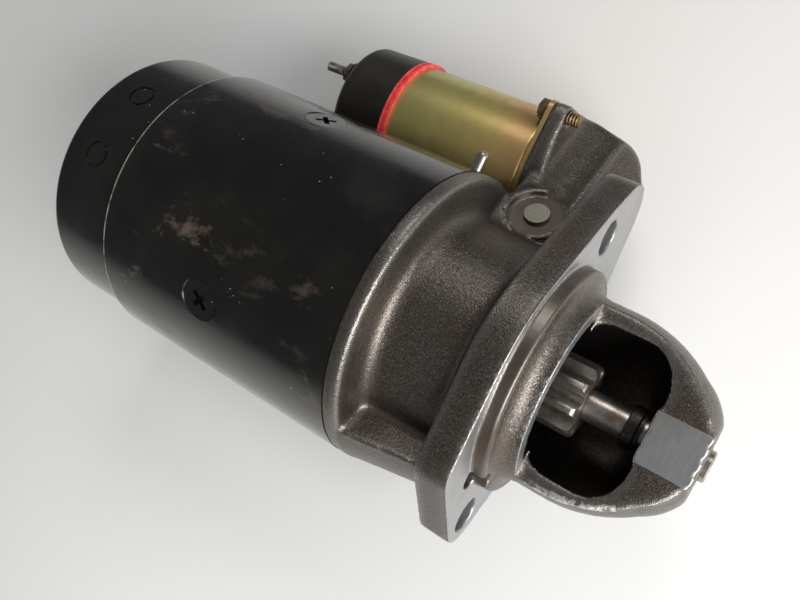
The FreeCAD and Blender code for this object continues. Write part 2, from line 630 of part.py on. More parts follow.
def shift_lever():
    """A forked arm on the pivot pin. Its blade reaches into the plunger's slot."""
    fork = (lever_x(FORK_REACH), FORK_REACH)
    crown = (lever_x(23.0), 23.0)
    pivot = (PIVOT_X, PIVOT_REACH)
    top = (lever_x(SOLENOID_REACH), SOLENOID_REACH)
    web = flat_bar(crown, pivot, 5.0, 7.5, -3.5, 3.5)
    blade = fuse([flat_bar(pivot, top, 7.5, 3.6, -3.0, 3.0),
                  Part.makeCylinder(5.0, 6.0, Vector(top[0], top[1], -3.0), Z_AXIS)])
    boss = Part.makeCylinder(7.5, 15.0, Vector(PIVOT_X, PIVOT_REACH, -7.5), Z_AXIS)
    bridge = Part.makeCylinder(3.5, 40.8, Vector(crown[0], crown[1], -20.4), Z_AXIS)
    pieces = [web, blade, boss, bridge]
    for side in (-1, 1):
        low = min(side * 17.4, side * 20.4)
        pieces.append(flat_bar(fork, crown, 3.5, 3.5, low, low + 3.0))
        pad_low = min(side * 13.2, side * 17.6)
        pieces.append(Part.makeCylinder(FORK_PAD_R, 4.4, Vector(fork[0], FORK_REACH, pad_low), Z_AXIS))
    bore = Part.makeCylinder(PIVOT_R + RUNNING, 80, Vector(PIVOT_X, PIVOT_REACH, -40), Z_AXIS)
    return fuse(pieces).cut(bore)


def pivot_pin():
    shank = Part.makeCylinder(PIVOT_R, RECESS_HALF + 23.5, Vector(PIVOT_X, PIVOT_REACH, -23.5), Z_AXIS)
    head = Part.makeCylinder(PIVOT_R + 0.75, 1.6, Vector(PIVOT_X, PIVOT_REACH, RECESS_HALF), Z_AXIS)
    clip_place = Vector(PIVOT_X, PIVOT_REACH, CLIP_LOW)
    groove = Part.makeCylinder(6, 1.0, clip_place, Z_AXIS)
    groove = groove.cut(Part.makeCylinder(PIVOT_R - 0.6, 1.0, clip_place, Z_AXIS))
    return fuse([shank, head]).cut(groove)


def pivot_clip():
    ring = Part.makeCylinder(6.2, 1.0, Vector(PIVOT_X, PIVOT_REACH, CLIP_LOW), Z_AXIS)
    mouth = block(PIVOT_X - 2.0, PIVOT_X + 2.0, PIVOT_REACH, PIVOT_REACH + 8, -23, -20)
    bore = Part.makeCylinder(PIVOT_R - 0.6, 4, Vector(PIVOT_X, PIVOT_REACH, -23), Z_AXIS)
    return ring.cut(bore).cut(mouth)


# ---------------------------------------------------------------- solenoid (solenoid frame)
def solenoid_case():
    """A drawn steel can with its closed end to the front."""
    shoulder = CASE_FRONT - 1.8
    return lathe([(CASE_REAR, SOLENOID_R), (shoulder, SOLENOID_R),
                  (CASE_FRONT, SOLENOID_R - 1.8, CASE_FRONT - 0.5, SOLENOID_R - 0.5),
                  (CASE_FRONT, CASE_BORE_R), (shoulder, CASE_BORE_R), (shoulder, 25.0), (CASE_REAR, 25.0)],
                 y=SOLENOID_REACH)


def solenoid_flange():
    """The plate between the solenoid and the casting, with two screw ears."""
    centre = (SOLENOID_REACH, 0, 26.9)
    pieces = [link(centre, (y, z, 4.7), CASE_FRONT, LAND_REAR) for y, z in screw_places()]
    holes = [rod(CASE_FRONT - 1, LAND_REAR + 1, SCREW_R + 0.2, y, z) for y, z in screw_places()]
    holes.append(rod(CASE_FRONT - 1, LAND_REAR + 1, CASE_BORE_R, SOLENOID_REACH, 0))
    return fuse(pieces).cut(fuse(holes))


def solenoid_screws():
    """Two hexagon screws with a slot across the head."""
    screws = []
    for y, z in screw_places():
        slot = block(CASE_FRONT - 4.2, CASE_FRONT - 2.8, y - 5, y + 5, z - 0.6, z + 0.6)
        head = hexagon(CASE_FRONT - 3.8, CASE_FRONT, 7.4, y, z).cut(slot)
        screws.append(fuse([head, rod(CASE_FRONT - 0.2, -34.6, SCREW_R, y, z)]))
    return Part.makeCompound(screws)


def bobbin():
    reach = SOLENOID_REACH
    front = CASE_FRONT - 2.0
    barrel = tube(CORE_FACE + 0.2, front, 15.4, PLUNGER_R + RUNNING, reach)
    flanges = [tube(CORE_FACE + 0.2, CORE_FACE + 2.0, 24.8, PLUNGER_R + RUNNING, reach),
               tube(front - 1.8, front, 24.8, PLUNGER_R + RUNNING, reach)]
    return fuse([barrel] + flanges)


def solenoid_core():
    reach = SOLENOID_REACH
    return tube(CASE_REAR - 0.2, CORE_FACE, 24.9, 3.1, reach)


def plunger():
    """The plunger, with a slot for the lever and a pocket for its return spring."""
    reach = SOLENOID_REACH
    pin = PLUNGER_PIN_X
    body = lathe([(PLUNGER_REAR, 0), (PLUNGER_REAR, PLUNGER_R - 0.6), (PLUNGER_REAR + 0.6, PLUNGER_R),
                  (-40, PLUNGER_R), (-38.5, 8.0), (pin + 3.6, 8.0), (pin + 7.3, 5.2), (pin + 7.3, 0)],
                 y=reach)
    slot = fuse([block(pin - 5.0 - GAP, pin + 5.0 + GAP, reach - 20, reach + 20, -3.4, 3.4),
                 block(pin - 6.6, pin + 6.6, reach - 20, reach - 3, -3.4, 3.4)])
    pocket = rod(PLUNGER_REAR - 1, SPRING_FRONT, 7.8, reach)
    return body.cut(slot).cut(pocket)


def push_rod():
    collar = rod(DISC_FRONT, DISC_FRONT + 1.5, 5.0, SOLENOID_REACH)
    return fuse([rod(DISC_REAR - 1.5, ROD_TIP, ROD_R, SOLENOID_REACH), collar])


def contact_disc():
    return tube(DISC_REAR, DISC_FRONT, 13.0, ROD_R, SOLENOID_REACH)


def seal_ring():
    """The soft ring between case and cap, with a groove around its middle."""
    ring = tube(CAP_FRONT, CASE_REAR, RING_R, 25.4, SOLENOID_REACH)
    return ring.cut(tube(CAP_FRONT + 1.0, CAP_FRONT + 2.0, RING_R + 1, RING_R - 0.7, SOLENOID_REACH))


def solenoid_cap():
    """The moulded cap, with a boss and a hole for each terminal."""
    reach = SOLENOID_REACH
    rear = SOLENOID_CAP_REAR
    outer = lathe([(rear, 0), (rear, 23.6), (rear + 3.6, 27.6, rear + 1.2, 26.2), (CAP_FRONT, 27.9),
                   (CAP_FRONT, 0)], y=reach)
    inside = rod(rear + CAP_SHELL, CAP_FRONT + 1, 24.6, reach)
    bosses = []
    holes = []
    for along, aside, radius, end in STUDS.values():
        bosses.append(rod(rear - CAP_BOSS, rear + 1, radius + 3.2, reach + along, aside))
        holes.append(rod(rear - 4, CAP_FRONT, radius, reach + along, aside))
    return fuse([outer.cut(inside)] + bosses).cut(fuse(holes))


def nut_faces(name):
    """Where a terminal's nut starts and ends. The motor terminal's nut sits on the lead."""
    seat = LEAD_X - 1.0 if name == "motor" else SOLENOID_CAP_REAR - CAP_BOSS
    return seat, seat - 1.5 * STUDS[name][2]


def terminal_stud(name):
    """A stud through the cap, headed inside and a little thinner where it sticks out of its nut."""
    along, aside, radius, end = STUDS[name]
    y = SOLENOID_REACH + along
    inner = SOLENOID_CAP_REAR + CAP_SHELL
    if name == "switch":
        head = rod(inner, inner + 2, 4.0, y, aside)
    else:
        head = rod(inner, DISC_REAR - CONTACT_TRAVEL - GAP, 6.0, y, aside)
    step = nut_faces(name)[1] - 0.2
    tip = rod(end, step + 1, radius - TIP_STEP, y, aside)
    return fuse([rod(step, inner + 1, radius, y, aside), head, tip])


def terminal_nut(name):
    along, aside, radius, end = STUDS[name]
    seat, outer = nut_faces(name)
    y = SOLENOID_REACH + along
    return hexagon(outer, seat, 3.3 * radius, y, aside).cut(rod(outer - 1, seat + 1, radius, y, aside))


# ---------------------------------------------------------------- build
def build_castings():
    save("drive_housing", drive_housing(), CASTING_TURN)
    save("nose_bush", tube(WINDOW_FRONT, NOSE_END - 0.5, NOSE_BORE_R, SHAFT_TIP_R + RUNNING))
    save("end_cap", end_cap())
    save("end_bush", tube(CAP_REAR + 2.0, CAP_REAR + 11.5, END_BUSH_R, JOURNAL_R + RUNNING))
    save("through_bolts", Part.makeCompound(around(through_bolt(), 2, BOLT_CLOCK)), CASTING_TURN)
    save("pivot_pin", pivot_pin(), SOLENOID_TURN)
    save("pivot_clip", pivot_clip(), SOLENOID_TURN)


def build_field():
    save("field_frame", field_frame())
    for number, clock in enumerate(pole_places(), 1):
        save("pole_shoe_%d" % number, pole_shoe(), clock)
    save("field_coils", Part.makeCompound([turn(field_coil(), clock) for clock in pole_places()]))
    save("pole_screws", Part.makeCompound([turn(pole_screw(), clock) for clock in pole_places()]))
    save("locating_pin", locating_pin(), PIN_CLOCK)
    save("field_lead", field_lead(), LEAD_CLOCK)
    save("lead_grommet", lead_grommet(), LEAD_CLOCK)


def build_brush_gear():
    save("brush_plate", brush_plate())
    save("brush_holders", Part.makeCompound([turn(brush_holder(), clock) for clock in brush_places()]))
    for number, clock in enumerate(brush_places(), 1):
        save("brush_%d" % number, brush(), clock)
        save("brush_spring_%d" % number, brush_spring(), clock)


def build_armature():
    save("armature_shaft", armature_shaft())
    save("armature_core", armature_core())
    save("armature_windings", armature_windings())
    save("commutator", commutator())
    save("commutator_hub", tube(COMMUTATOR_REAR, COMMUTATOR_FRONT, HUB_R, SHAFT_R))
    save("stop_collar", stop_collar())
    save("stop_ring", tube(STOP_REAR, STOP_FRONT, 7.0, SHAFT_TIP_R - 0.7))


def build_drive():
    save("drive_sleeve", drive_sleeve())
    save("sleeve_ring", tube(SNAP_REAR, SNAP_FRONT, 13.2, SLEEVE_R - 0.8))
    save("clutch_shell", clutch_shell())
    roller = rod(-12.8, -2.2, ROLLER_R, RACE_R + GAP + ROLLER_R)
    save("clutch_rollers", Part.makeCompound(around(roller, 5)))
    save("pinion_gear", pinion_gear())
    save("pinion_bush", tube(RACE_REAR, PINION_FRONT - 0.6, PINION_BORE_R, SHAFT_TIP_R + RUNNING))
    save("shift_collar", shift_collar())
    save("mesh_spring", tube(COLLAR_X + FORK_PAD_R + GAP + 1.7, -16.1, 14.9, 13.1))
    save("shift_lever", shift_lever(), SOLENOID_TURN)


def build_solenoid():
    save("solenoid_case", solenoid_case(), SOLENOID_TURN)
    save("solenoid_flange", solenoid_flange(), SOLENOID_TURN)
    save("solenoid_screws", solenoid_screws(), SOLENOID_TURN)
    save("solenoid_bobbin", bobbin(), SOLENOID_TURN)
    inner_coil = tube(CORE_FACE + 2.2, CASE_FRONT - 4.0, 20.2, 15.5, SOLENOID_REACH)
    outer_coil = tube(CORE_FACE + 2.2, CASE_FRONT - 4.0, 24.6, 20.4, SOLENOID_REACH)
    save("solenoid_coils", Part.makeCompound([inner_coil, outer_coil]), SOLENOID_TURN)
    save("solenoid_core", solenoid_core(), SOLENOID_TURN)
    save("plunger", plunger(), SOLENOID_TURN)
    plunger_spring = tube(CORE_FACE + 0.1, SPRING_FRONT - 0.1, 6.6, 5.4, SOLENOID_REACH)
    save("plunger_spring", plunger_spring, SOLENOID_TURN)
    save("push_rod", push_rod(), SOLENOID_TURN)
    save("contact_disc", contact_disc(), SOLENOID_TURN)
    contact_spring = tube(SOLENOID_CAP_REAR + CAP_SHELL + 0.1, DISC_REAR - 0.1, 5.5, 4.5, SOLENOID_REACH)
    save("contact_spring", contact_spring, SOLENOID_TURN)
    save("seal_ring", seal_ring(), SOLENOID_TURN)
    save("solenoid_cap", solenoid_cap(), SOLENOID_TURN)
    for name in STUDS:
        save(name + "_stud", terminal_stud(name), SOLENOID_TURN)
    save("terminal_nuts", Part.makeCompound([terminal_nut(name) for name in STUDS]), SOLENOID_TURN)


os.makedirs("parts", exist_ok=True)
build_castings()
build_field()
build_brush_gear()
build_armature()
build_drive()
build_solenoid()
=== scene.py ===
"""The looks of the starter motor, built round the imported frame. Lengths are in metres."""

import json
import math

import bmesh
import bpy
import numpy as np
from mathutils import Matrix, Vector, noise
from mathutils.bvhtree import BVHTree


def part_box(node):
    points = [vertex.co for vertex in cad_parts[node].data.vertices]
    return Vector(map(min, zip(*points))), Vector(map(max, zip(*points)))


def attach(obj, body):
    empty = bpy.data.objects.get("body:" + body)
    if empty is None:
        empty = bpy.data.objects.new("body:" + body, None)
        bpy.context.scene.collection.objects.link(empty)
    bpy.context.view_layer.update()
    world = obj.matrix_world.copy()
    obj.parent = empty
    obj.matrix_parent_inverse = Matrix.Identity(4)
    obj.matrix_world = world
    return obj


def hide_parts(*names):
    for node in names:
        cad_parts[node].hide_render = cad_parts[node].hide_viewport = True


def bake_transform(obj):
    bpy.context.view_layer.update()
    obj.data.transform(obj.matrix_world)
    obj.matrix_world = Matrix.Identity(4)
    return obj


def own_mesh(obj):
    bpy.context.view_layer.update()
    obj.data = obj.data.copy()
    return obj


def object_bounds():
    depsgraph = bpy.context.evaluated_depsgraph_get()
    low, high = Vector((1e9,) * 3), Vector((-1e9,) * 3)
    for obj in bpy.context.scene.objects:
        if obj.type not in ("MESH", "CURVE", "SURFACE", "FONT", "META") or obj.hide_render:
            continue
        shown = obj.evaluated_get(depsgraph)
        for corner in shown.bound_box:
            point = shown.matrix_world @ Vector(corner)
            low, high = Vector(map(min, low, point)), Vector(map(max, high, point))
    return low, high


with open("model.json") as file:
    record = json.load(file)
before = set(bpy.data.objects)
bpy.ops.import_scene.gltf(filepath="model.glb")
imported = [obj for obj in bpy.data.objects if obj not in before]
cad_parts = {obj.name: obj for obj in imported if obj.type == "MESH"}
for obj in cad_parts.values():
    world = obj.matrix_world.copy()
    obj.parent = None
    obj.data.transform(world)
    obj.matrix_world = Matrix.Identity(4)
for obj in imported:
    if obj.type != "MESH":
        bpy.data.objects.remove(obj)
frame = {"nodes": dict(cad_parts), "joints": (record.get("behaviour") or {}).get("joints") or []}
CAD_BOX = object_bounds()
NODES = frame["nodes"]
JOINTS = {joint["name"]: joint for joint in frame["joints"]}
MM = 0.001
SCREW_PITCH = 1.25 * MM
STUD_PITCH = 0.9 * MM

# ---------------------------------------------------------------- places read from the frame
ALONG = Vector((1, 0, 0))                           # the shaft, towards the nose
ACROSS = Vector(JOINTS["lever_pivot"]["axis"])      # the pivot pin's line
REACH = ACROSS.cross(ALONG)                         # from the shaft to the solenoid
SOLENOID_CLOCK = math.atan2(REACH.z, REACH.y)
CASTING_CLOCK = SOLENOID_CLOCK + math.radians(29.7)  # the line through both ears, about X
PIVOT = Vector(JOINTS["lever_pivot"]["pos_m"])


# ---------------------------------------------------------------- node material helpers
def srgb(red, green, blue):
    """A colour typed as it is seen, turned into linear values."""
    linear = [((c + 0.055) / 1.055) ** 2.4 if c > 0.04045 else c / 12.92 for c in (red, green, blue)]
    return (*linear, 1.0)


class Surface:
    """A Principled material with a few shorthands for procedural nodes in object space."""

    def __init__(self, name, colour, roughness, metallic=0.0, coat=0.0):
        self.material = bpy.data.materials.new(name)
        self.material.use_nodes = True
        self.tree = self.material.node_tree
        self.shader = self.tree.nodes["Principled BSDF"]
        self.shader.inputs["Base Color"].default_value = colour
        self.shader.inputs["Roughness"].default_value = roughness
        self.shader.inputs["Metallic"].default_value = metallic
        self.shader.inputs["Coat Weight"].default_value = coat
        self.shader.inputs["Coat Roughness"].default_value = 0.12
        self.place = self.tree.nodes.new("ShaderNodeTexCoord").outputs["Object"]

    def node(self, kind, inputs, **settings):
        """A node with its inputs linked or set, and its own settings."""
        made = self.tree.nodes.new(kind)
        for key, value in settings.items():
            setattr(made, key, value)
        for key, value in inputs.items():
            if isinstance(value, bpy.types.NodeSocket):
                self.tree.links.new(value, made.inputs[key])
            else:
                made.inputs[key].default_value = value
        return made

    def set(self, socket, value):
        self.tree.links.new(value, self.shader.inputs[socket])

    def x(self):
        return self.node("ShaderNodeSeparateXYZ", {"Vector": self.place}).outputs["X"]

    def stretched(self, scale, turn=0.0):
        """Object space turned about X, then scaled."""
        inputs = {"Vector": self.place, "Scale": scale, "Rotation": (turn, 0, 0)}
        return self.node("ShaderNodeMapping", inputs).outputs["Vector"]

    def grain(self, per_metre, detail=4.0, rough=0.55, place=None, distortion=0.0):
        """Noise of so many features a metre."""
        inputs = {"Vector": place or self.place, "Scale": per_metre, "Detail": detail, "Roughness": rough,
                  "Distortion": distortion}
        return self.node("ShaderNodeTexNoise", inputs).outputs["Fac"]

    def cells(self, per_metre):
        """The distance to the nearest of some scattered points."""
        inputs = {"Vector": self.place, "Scale": per_metre}
        return self.node("ShaderNodeTexVoronoi", inputs).outputs["Distance"]

    def ramp(self, factor, *stops):
        """A colour ramp from stops of (position, colour)."""
        made = self.node("ShaderNodeValToRGB", {"Fac": factor})
        ramp = made.color_ramp
        while len(ramp.elements) < len(stops):
            ramp.elements.new(0.5)
        for element, (position, colour) in zip(ramp.elements, stops):
            element.position = position
            element.color = colour
        return made.outputs["Color"]

    def mask(self, factor, low, high):
        """0 below low and 1 above high."""
        inputs = {"Value": factor, "From Min": low, "From Max": high}
        return self.node("ShaderNodeMapRange", inputs, clamp=True).outputs["Result"]

    def span(self, factor, low, high):
        """A factor from 0 to 1 spread from low to high."""
        inputs = {"Value": factor, "To Min": low, "To Max": high}
        return self.node("ShaderNodeMapRange", inputs, clamp=True).outputs["Result"]

    def times(self, a, b):
        return self.math("MULTIPLY", a, b)

    def without(self, factor):
        return self.math("SUBTRACT", 1.0, factor)

    def math(self, operation, a, b):
        return self.node("ShaderNodeMath", {0: a, 1: b}, operation=operation).outputs["Value"]

    def mix(self, factor, a, b):
        """Colour a at 0 and colour b at 1."""
        made = self.node("ShaderNodeMix", {"Factor": factor}, data_type="RGBA")
        for index, value in ((6, a), (7, b)):
            if isinstance(value, bpy.types.NodeSocket):
                self.tree.links.new(value, made.inputs[index])
            else:
                made.inputs[index].default_value = value
        return made.outputs[2]

    def lerp(self, factor, a, b):
        """Value a at 0 and value b at 1."""
        made = self.node("ShaderNodeMix", {"Factor": factor}, data_type="FLOAT")
        self.tree.links.new(a, made.inputs[2])
        self.tree.links.new(b, made.inputs[3])
        return made.outputs[0]

    def attribute(self, name):
        return self.node("ShaderNodeAttribute", {}, attribute_name=name).outputs["Fac"]

    def bump(self, height, strength, distance, onto=None):
        """Bump on the shader's normal, on top of an earlier bump if one is given."""
        inputs = {"Height": height, "Strength": strength, "Distance": distance}
        if onto is not None:
            inputs["Normal"] = onto
        made = self.node("ShaderNodeBump", inputs)
        self.set("Normal", made.outputs["Normal"])
        return made.outputs["Normal"]


def cast_paint():
    """Thin dark paint over sand-cast iron, its ridges lighter from wear and from a painted highlight,
    with painted highlights in its hollows, painted sand glints and machined faces.
    """
    s = Surface("cast paint", srgb(0.30, 0.28, 0.26), 0.5, metallic=0.8)
    ridge = s.attribute("ridge")
    hollow = s.attribute("hollow")
    machined = s.mask(s.attribute("machined"), 0.45, 0.6)
    stained = s.mask(s.attribute("stained"), 0.4, 0.6)
    ground = s.times(s.attribute("ground"), s.mask(s.grain(260, 3, 0.6), 0.44, 0.50))
    sand = s.grain(1700, 3, 0.55)
    blotch = s.grain(40, 4, 0.55)
    tone = s.ramp(sand, (0.30, srgb(0.22, 0.20, 0.185)), (0.52, srgb(0.33, 0.305, 0.28)),
                  (0.70, srgb(0.44, 0.415, 0.39)))
    tone = s.mix(s.mask(blotch, 0.48, 0.9), tone, srgb(0.33, 0.265, 0.22))
    # Painted glints: tiny light specks that stand in for sparkle of light off sand grains.
    painted_glint = s.mask(s.grain(2600, 1, 0.5), 0.70, 0.74)
    tone = s.mix(painted_glint, tone, srgb(0.72, 0.69, 0.65))
    # Painted highlight: hollows and fillets are lightened to stand in for the bright streaks light makes
    # in them.
    tone = s.mix(s.times(hollow, 0.35), tone, srgb(0.50, 0.48, 0.46))
    # Ridges lightened: partly worn paint, partly a painted highlight.
    tone = s.mix(s.times(ridge, 0.45), tone, srgb(0.56, 0.55, 0.53))
    tone = s.mix(ground, tone, srgb(0.78, 0.77, 0.75))

    marks = s.grain(1100, 2, 0.5, s.stretched((1.0, 0.05, 1.0), -CASTING_CLOCK))
    stain = s.grain(50, 3, 0.5)
    clean = s.mix(s.mask(marks, 0.35, 0.65), srgb(0.61, 0.61, 0.61), srgb(0.64, 0.64, 0.64))
    clean = s.mix(s.mask(stain, 0.50, 0.9), clean, srgb(0.52, 0.50, 0.48))
    brown = s.mix(s.mask(stain, 0.40, 0.60), srgb(0.44, 0.41, 0.385), srgb(0.37, 0.33, 0.30))
    clean = s.mix(stained, clean, brown)
    s.set("Base Color", s.mix(machined, tone, clean))

    rough = s.math("SUBTRACT", s.span(sand, 0.27, 0.42), s.times(ridge, 0.06))
    polish = s.span(stain, 0.30, 0.42)
    s.set("Roughness", s.lerp(machined, rough, polish))
    unworked = s.without(machined)
    coarse = s.bump(s.times(s.grain(700, 2, 0.5), unworked), 0.30, 0.0004)
    fine = s.bump(s.times(sand, unworked), 0.55, 0.0003, coarse)
    s.bump(marks, 0.03, 0.0001, fine)
    return s.material


def gloss_paint():
    """Thick gloss black enamel, with scuffs, dust specks and a worn rear edge."""
    s = Surface("gloss paint", srgb(0.055, 0.052, 0.050), 0.2, coat=0.3)
    x = s.x()
    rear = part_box("field_frame")[0].x
    scuff = s.grain(75, 6, 0.68, s.stretched((0.6, 1.0, 1.0)), 0.4)
    on_frame = s.mask(x, rear - 2 * MM, rear + 6 * MM)
    where = s.times(s.mask(s.grain(14, 2, 0.5), 0.44, 0.54), on_frame)
    bare = s.times(s.mask(scuff, 0.56, 0.66), where)
    edge = s.without(s.mask(x, rear + 0.2 * MM, rear + 0.7 * MM))
    edge = s.times(edge, s.mask(x, rear - 0.09 * MM, rear - 0.08 * MM))
    edge = s.times(edge, s.mask(s.grain(220, 3, 0.6), 0.30, 0.55))
    haze = s.mask(s.grain(35, 5, 0.6), 0.42, 0.75)
    specks = s.without(s.mask(s.cells(230), 0.03, 0.06))
    rare = s.times(specks, s.mask(s.grain(45, 2, 0.5), 0.50, 0.56))
    paint = s.mix(haze, srgb(0.045, 0.042, 0.037), srgb(0.10, 0.092, 0.08))
    worn = s.mix(s.times(bare, 0.75), paint, srgb(0.36, 0.30, 0.26))
    worn = s.mix(edge, worn, srgb(0.62, 0.60, 0.56))
    s.set("Base Color", s.mix(rare, worn, srgb(0.72, 0.70, 0.66)))
    s.set("Roughness", s.span(s.math("ADD", s.times(haze, 0.4), bare), 0.13, 0.6))
    ripple = s.bump(s.grain(240, 2, 0.5), 0.12, 0.0004)
    s.bump(s.without(bare), 0.3, 0.0001, ripple)
    return s.material


def black_plastic():
    """Satin black moulding with a brown cast."""
    s = Surface("black plastic", srgb(0.07, 0.065, 0.06), 0.4)
    fine = s.grain(900, 3, 0.6)
    s.set("Base Color", s.ramp(s.grain(50, 4, 0.6), (0.4, srgb(0.085, 0.07, 0.06)),
                               (0.75, srgb(0.16, 0.135, 0.11))))
    s.set("Roughness", s.span(fine, 0.32, 0.5))
    s.bump(fine, 0.12, 0.0002)
    return s.material


def red_rubber():
    """Bright red rubber under a little dust."""
    s = Surface("red rubber", srgb(0.86, 0.20, 0.19), 0.45)
    dust = s.grain(300, 4, 0.6)
    s.set("Base Color", s.ramp(dust, (0.35, srgb(0.84, 0.22, 0.21)), (0.7, srgb(0.97, 0.40, 0.38))))
    s.set("Roughness", s.span(dust, 0.35, 0.55))
    s.bump(dust, 0.1, 0.0002)
    return s.material


def yellow_zinc():
    """Yellow chromate plating that drifts between olive, gold and pink."""
    s = Surface("yellow zinc", srgb(0.66, 0.60, 0.38), 0.3, metallic=0.7)
    low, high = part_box("solenoid_case")
    drift = s.mask(s.x(), low.x, high.x)
    wander = s.math("ADD", s.times(drift, 0.8), s.times(s.grain(30, 3, 0.5), 0.4))
    tint = s.ramp(wander, (0.15, srgb(0.72, 0.67, 0.42)), (0.42, srgb(0.76, 0.73, 0.46)),
                  (0.72, srgb(0.80, 0.71, 0.44)), (0.90, srgb(0.82, 0.65, 0.44)),
                  (1.0, srgb(0.76, 0.64, 0.42)))
    mottle = s.grain(170, 4, 0.6)
    s.set("Base Color", s.mix(s.mask(mottle, 0.35, 1.2), tint, srgb(0.62, 0.55, 0.37)))
    s.set("Roughness", s.span(mottle, 0.24, 0.42))
    s.bump(s.grain(900, 2, 0.5), 0.04, 0.0001)
    return s.material


def thread(surface, rear, front, pitch):
    """Ridges round the X axis between two places, standing in for a screw's thread."""
    x = surface.x()
    inside = surface.times(surface.math("GREATER_THAN", x, rear), surface.math("LESS_THAN", x, front))
    ridges = surface.math("PINGPONG", x, pitch / 2)
    height = surface.times(surface.times(ridges, 2 / pitch), inside)
    surface.bump(height, 1.0, pitch * 0.6)


def plated_screw():
    """Gold plated steel with a threaded tip in front of the solenoid's plate."""
    s = Surface("plated screw", srgb(0.60, 0.50, 0.34), 0.35, metallic=0.9)
    cloud = s.grain(300, 4, 0.6)
    s.set("Base Color", s.ramp(cloud, (0.35, srgb(0.42, 0.34, 0.24)), (0.7, srgb(0.68, 0.58, 0.42))))
    s.set("Roughness", s.span(cloud, 0.28, 0.45))
    thread(s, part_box("solenoid_flange")[1].x, 0.0, SCREW_PITCH)
    return s.material


def stud_steel():
    """Dull plated steel, threaded behind the solenoid cap."""
    s = Surface("stud", srgb(0.60, 0.58, 0.54), 0.4, metallic=0.9)
    cloud = s.grain(300, 4, 0.6)
    s.set("Base Color", s.ramp(cloud, (0.35, srgb(0.38, 0.36, 0.33)), (0.7, srgb(0.64, 0.62, 0.58))))
    s.set("Roughness", s.span(cloud, 0.32, 0.48))
    thread(s, CAD_BOX[0][0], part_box("solenoid_cap")[0].x, STUD_PITCH)
    return s.material


def steel(name, light, dark, rough=(0.22, 0.42), rust=0.0):
    """Bright or dark steel, with an optional bloom of brown oxide."""
    s = Surface(name, light, rough[0], metallic=0.95)
    fine = s.grain(800, 3, 0.6)
    cloud = s.grain(110, 4, 0.6)
    tone = s.ramp(fine, (0.3, dark), (0.7, light))
    if rust:
        tone = s.mix(s.mask(cloud, 0.62 - 0.2 * rust, 0.80), tone, srgb(0.42, 0.29, 0.18))
    s.set("Base Color", tone)
    s.set("Roughness", s.span(cloud, *rough))
    s.bump(fine, 0.1, 0.0001)
    return s.material


def plain(name, light, dark, metallic, rough, per_metre=500):
    """Two tones of one colour, for inner pieces."""
    s = Surface(name, light, rough, metallic=metallic)
    fine = s.grain(per_metre, 4, 0.6)
    s.set("Base Color", s.ramp(fine, (0.35, dark), (0.65, light)))
    s.set("Roughness", s.span(fine, max(rough - 0.1, 0.05), rough + 0.1))
    s.bump(fine, 0.15, 0.0002)
    return s.material


MATERIALS = {
    "cast": cast_paint(),
    "gloss": gloss_paint(),
    "plastic": black_plastic(),
    "red": red_rubber(),
    "zinc": yellow_zinc(),
    "bright": steel("bright steel", srgb(0.72, 0.70, 0.67), srgb(0.60, 0.58, 0.55), rust=0.5),
    "clean": steel("clean steel", srgb(0.66, 0.64, 0.60), srgb(0.60, 0.58, 0.53)),
    "dark": steel("dark steel", srgb(0.30, 0.29, 0.28), srgb(0.17, 0.16, 0.155), (0.35, 0.55)),
    "brass": plated_screw(),
    "stud": stud_steel(),
    "copper": plain("copper", srgb(0.76, 0.45, 0.30), srgb(0.55, 0.28, 0.18), 0.9, 0.35, 900),
    "bronze": plain("bronze", srgb(0.72, 0.56, 0.34), srgb(0.52, 0.38, 0.22), 0.9, 0.4),
    "winding": plain("enamelled winding", srgb(0.50, 0.24, 0.12), srgb(0.34, 0.14, 0.08), 0.3, 0.4, 1400),
    "laminate": plain("laminated iron", srgb(0.36, 0.35, 0.34), srgb(0.22, 0.21, 0.20), 0.8, 0.5, 1600),
    "carbon": plain("carbon", srgb(0.20, 0.17, 0.15), srgb(0.11, 0.10, 0.10), 0.3, 0.5, 1200),
    "phenolic": plain("phenolic", srgb(0.50, 0.34, 0.20), srgb(0.38, 0.25, 0.14), 0.0, 0.5),
}

NODE_MATERIALS = {
    "gloss": ["field_frame", "end_cap", "pole_screws", "through_bolts"],
    "plastic": ["solenoid_cap", "lead_grommet"],
    "red": ["seal_ring"],
    "zinc": ["solenoid_case", "solenoid_flange"],
    "brass": ["solenoid_screws"],
    "bright": ["armature_shaft", "pinion_gear"],
    "clean": ["pivot_pin", "locating_pin", "sleeve_ring", "pivot_clip", "push_rod"],
    "stud": ["switch_stud", "terminal_nuts"],
    "dark": ["stop_collar", "stop_ring", "clutch_shell", "clutch_rollers", "drive_sleeve", "shift_collar",
             "shift_lever", "solenoid_core", "plunger", "brush_holders"],
    "copper": ["commutator", "contact_disc", "field_lead", "battery_stud", "motor_stud"],
    "bronze": ["nose_bush", "end_bush", "pinion_bush"],
    "winding": ["armature_windings", "field_coils", "solenoid_coils"],
    "laminate": ["armature_core", "pole_shoe_1", "pole_shoe_2", "pole_shoe_3", "pole_shoe_4"],
    "carbon": ["brush_1", "brush_2", "brush_3", "brush_4"],
    "phenolic": ["commutator_hub", "solenoid_bobbin", "brush_plate"],
}

# Node, turns, wire radius, what moves it, and its shortest share. A coil with no share rides on a body.
# The others ride on the root, each with a mesh of its own.
SPRINGS = (("mesh_spring", 4, 0.9 * MM, "shift_collar", None),
           ("plunger_spring", 9, 0.6 * MM, "plunger_slide", 0.59),
           ("contact_spring", 6, 0.5 * MM, "contact_slide", 0.74))
STEPS_PER_TURN = 28
WIRE_SIDES = 10
FINGER_CUTS = 9


# ---------------------------------------------------------------- mesh helpers
def dress(piece, material):
    piece.data.materials.clear()
    piece.data.materials.append(MATERIALS[material])


def add(name, mesh, material):
    """A new piece from a mesh, with its material."""
    piece = bpy.data.objects.new(name, mesh)
    bpy.context.scene.collection.objects.link(piece)
    dress(piece, material)
    return piece


